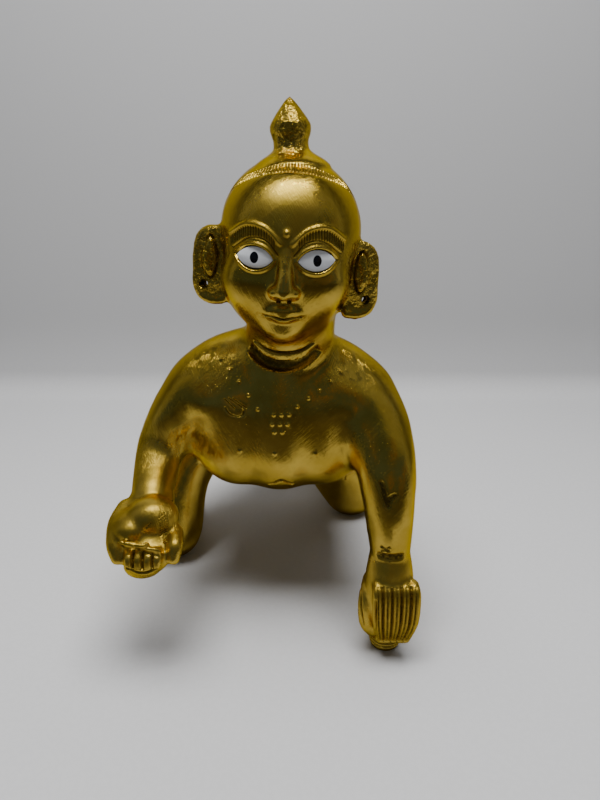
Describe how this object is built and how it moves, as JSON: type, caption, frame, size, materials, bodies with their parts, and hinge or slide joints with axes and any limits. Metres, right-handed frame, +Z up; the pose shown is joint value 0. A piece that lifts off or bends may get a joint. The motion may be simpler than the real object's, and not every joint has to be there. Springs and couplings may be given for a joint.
{
  "type": "crawling child deity idol",
  "caption": "Solid brass crawling child deity that leans on one fist and both knees and holds out a sweet ball, with inlaid almond eyes.",
  "frame": {"origin": "centre of the bounding box's base, on the ground that the figure rests on", "axes": "+Z up, the figure faces -Y and its own left side is towards +X"},
  "size_m": [0.0844, 0.1271, 0.1397],
  "materials": {
    "brass": "polished, with fine file and burnishing marks",
    "eye_white": "smooth white with a painted black pupil"
  },
  "bodies": {
    "root": {"figure": "brass", "left_eye_inlay": "eye_white", "right_eye_inlay": "eye_white"}
  },
  "joints": []
}
